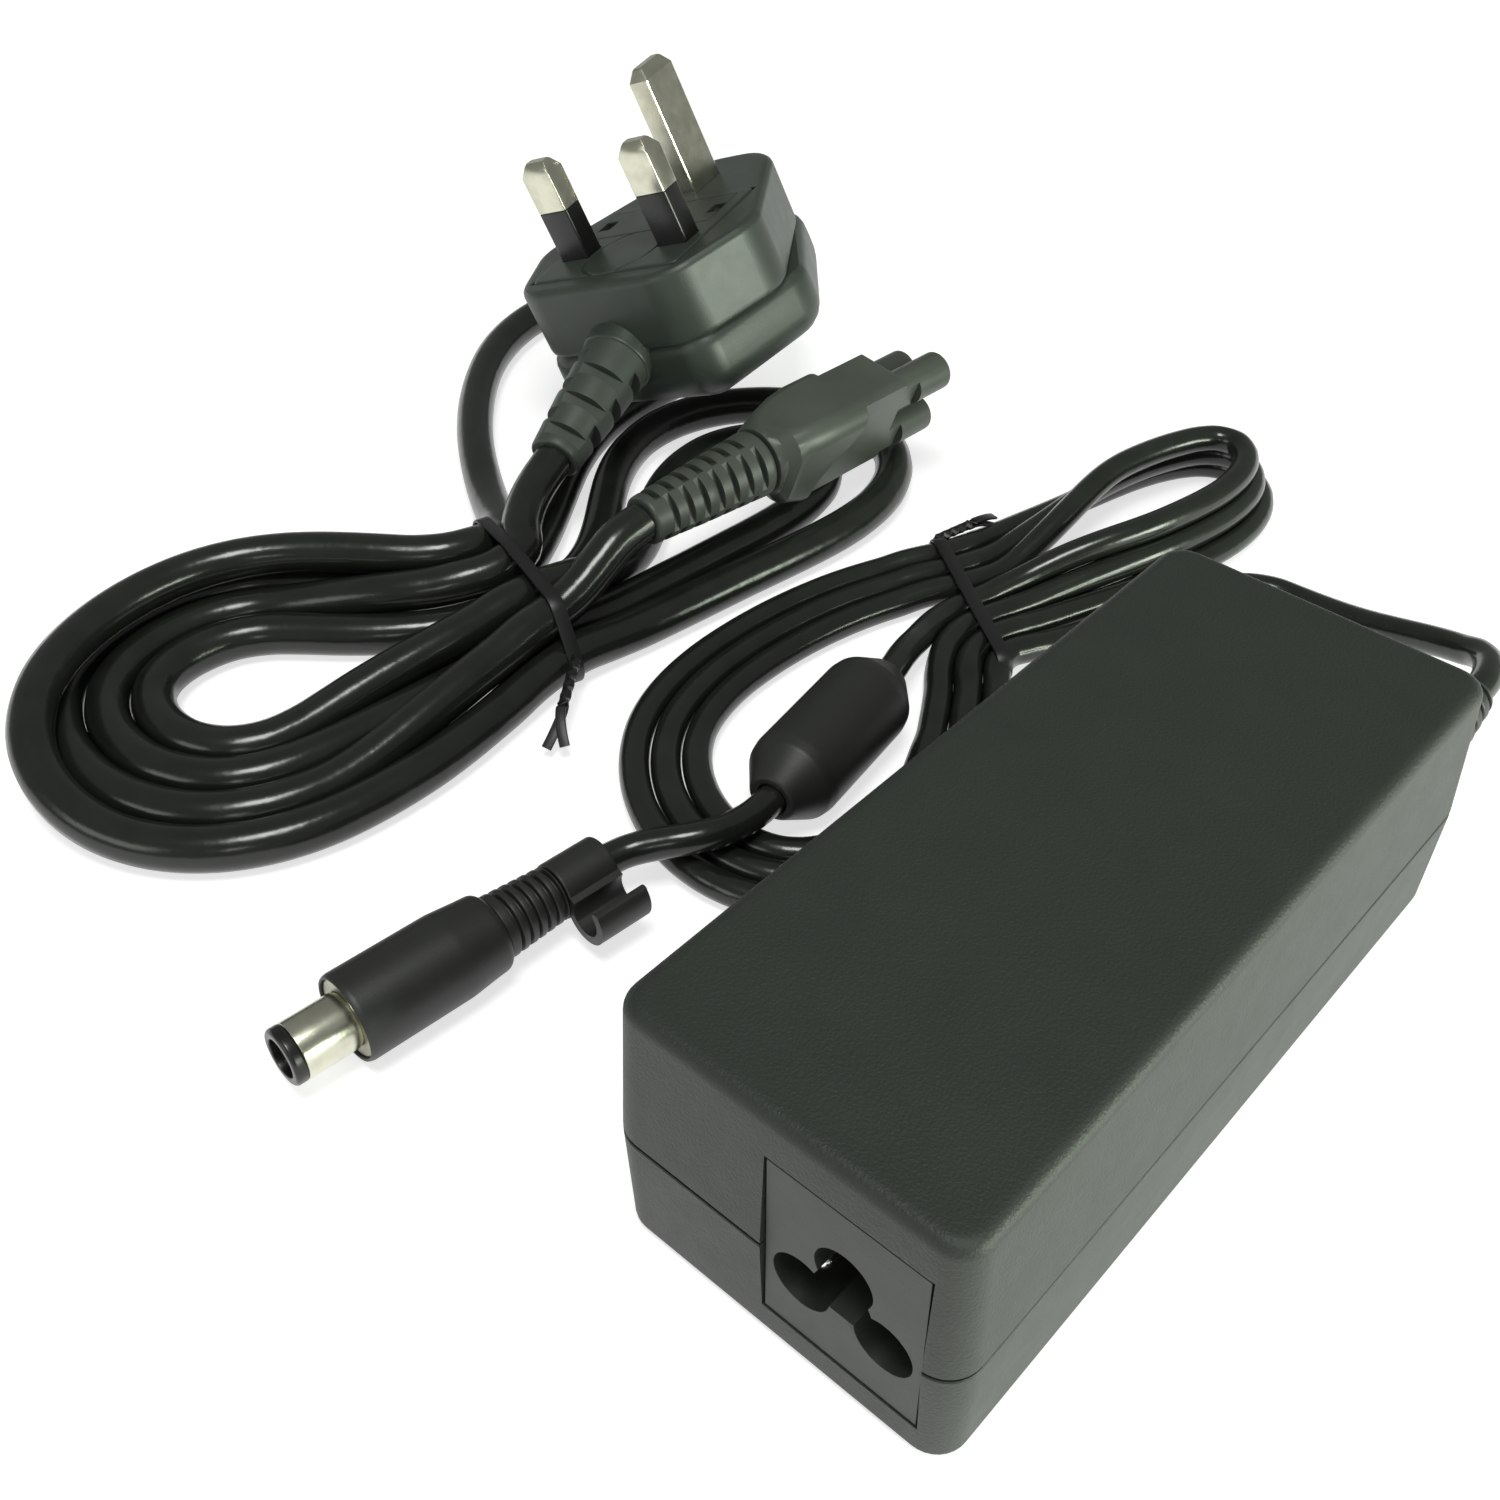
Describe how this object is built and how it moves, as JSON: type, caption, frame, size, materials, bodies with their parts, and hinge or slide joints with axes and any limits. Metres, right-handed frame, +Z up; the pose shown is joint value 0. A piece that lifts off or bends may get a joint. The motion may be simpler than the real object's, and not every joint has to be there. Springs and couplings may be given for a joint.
{
  "type": "laptop power adapter",
  "caption": "Rectangular laptop power brick with a captive tied low-voltage lead ending in a barrel plug, and a separate tied mains lead with a fused three-pin plug.",
  "frame": {"origin": "under the middle of the brick, on the surface it stands on", "axes": "+Y along the brick towards the low-voltage lead, the inlet end faces -Y, +Z up"},
  "size_m": [0.2018, 0.1901, 0.0602],
  "materials": {
    "case": "fine spark-eroded charcoal moulding",
    "label": "blank satin foil-backed label",
    "inlet_plastic": "matt",
    "plated_brass": "bright nickel plate",
    "olive_metal": "dull plated metal",
    "tray_sheet": "translucent fish-paper sheet",
    "shield_metal": "plain rolled sheet",
    "board": "green solder-resist laminate",
    "component_body": "moulded epoxy",
    "light_epoxy": "moulded epoxy",
    "glass_fuse": "ceramic-filled sleeve",
    "film_capacitor": "filled plastic box",
    "disc_capacitor": "dipped disc",
    "can": "sleeved can",
    "ferrite": "sintered ferrite",
    "copper": "enamelled wire",
    "heatsink": "punched sheet",
    "wire": "extruded sleeve",
    "cord": "glossy extruded sheath",
    "soft_moulding": "matt soft moulding",
    "tie": "ribbed extrusion over wire",
    "plug_plastic": "matt grey-green moulding",
    "fuse_body": "ceramic tube between end caps"
  },
  "bodies": {
    "adapter": {"bottom_cover": "case", "top_cover": "case", "rating_label": "label", "inlet_housing": "inlet_plastic", "inlet_pins": "plated_brass", "insulating_tray": "tray_sheet", "shield_plate": "shield_metal", "circuit_board": "board", "input_fuse": "glass_fuse", "x_capacitor": "film_capacitor", "choke_core": "ferrite", "choke_windings": "copper", "bridge_rectifier": "component_body", "bulk_capacitor": "can", "primary_heatsink": "heatsink", "switching_transistor": "component_body", "transformer_core": "ferrite", "transformer_winding": "copper", "y_capacitor": "disc_capacitor", "secondary_heatsink": "heatsink", "output_rectifier": "component_body", "output_capacitors": "can", "output_choke": "copper", "optocoupler": "light_epoxy", "controller_chip": "component_body", "output_wires": "wire", "cord_gland": "soft_moulding", "dc_cord_start": "cord", "dc_cord_hank": "cord", "dc_cord_coil": "cord", "dc_cord_end": "cord", "ferrite_core": "ferrite", "ferrite_moulding": "soft_moulding", "dc_twist_tie": "tie", "dc_grip": "soft_moulding", "dc_strain_relief": "soft_moulding", "barrel_collar": "olive_metal", "barrel_sleeve": "plated_brass", "barrel_insulator": "soft_moulding", "barrel_contact": "plated_brass", "barrel_pin": "plated_brass"},
    "mains_lead": {"plug_body": "plug_plastic", "plug_insert": "plug_plastic", "earth_pin": "plated_brass", "line_pins": "plated_brass", "pin_sleeves": "plug_plastic", "fuse_contacts": "plated_brass", "plug_strain_relief": "soft_moulding", "mains_cord_start": "cord", "mains_cord_coil": "cord", "mains_cord_loops": "cord", "mains_cord_far_loop": "cord", "mains_cord_end": "cord", "mains_twist_tie": "tie", "connector_body": "soft_moulding", "connector_contacts": "plated_brass", "connector_strain_relief": "soft_moulding"},
    "fuse_carrier": {"fuse_carrier": "plug_plastic", "plug_fuse": "fuse_body"},
    "cord_clip": {"cord_clip": "soft_moulding"}
  },
  "joints": [
    {"name": "mains_lead_lift", "type": "slide", "parent": "adapter", "child": "mains_lead", "axis": [0, 0, 1], "range_m": [0, 0.08]},
    {"name": "fuse_carrier_slide", "type": "slide", "parent": "mains_lead", "child": "fuse_carrier", "axis": [-0.348, -0.1894, 0.9182], "range_m": [0, 0.012]},
    {"name": "cord_clip_turn", "type": "hinge", "parent": "adapter", "child": "cord_clip", "pos_m": [-0.05694, -0.02409, 0.0059], "axis": [-0.1045, -0.9945, 0], "range_deg": [0, 180]}
  ]
}
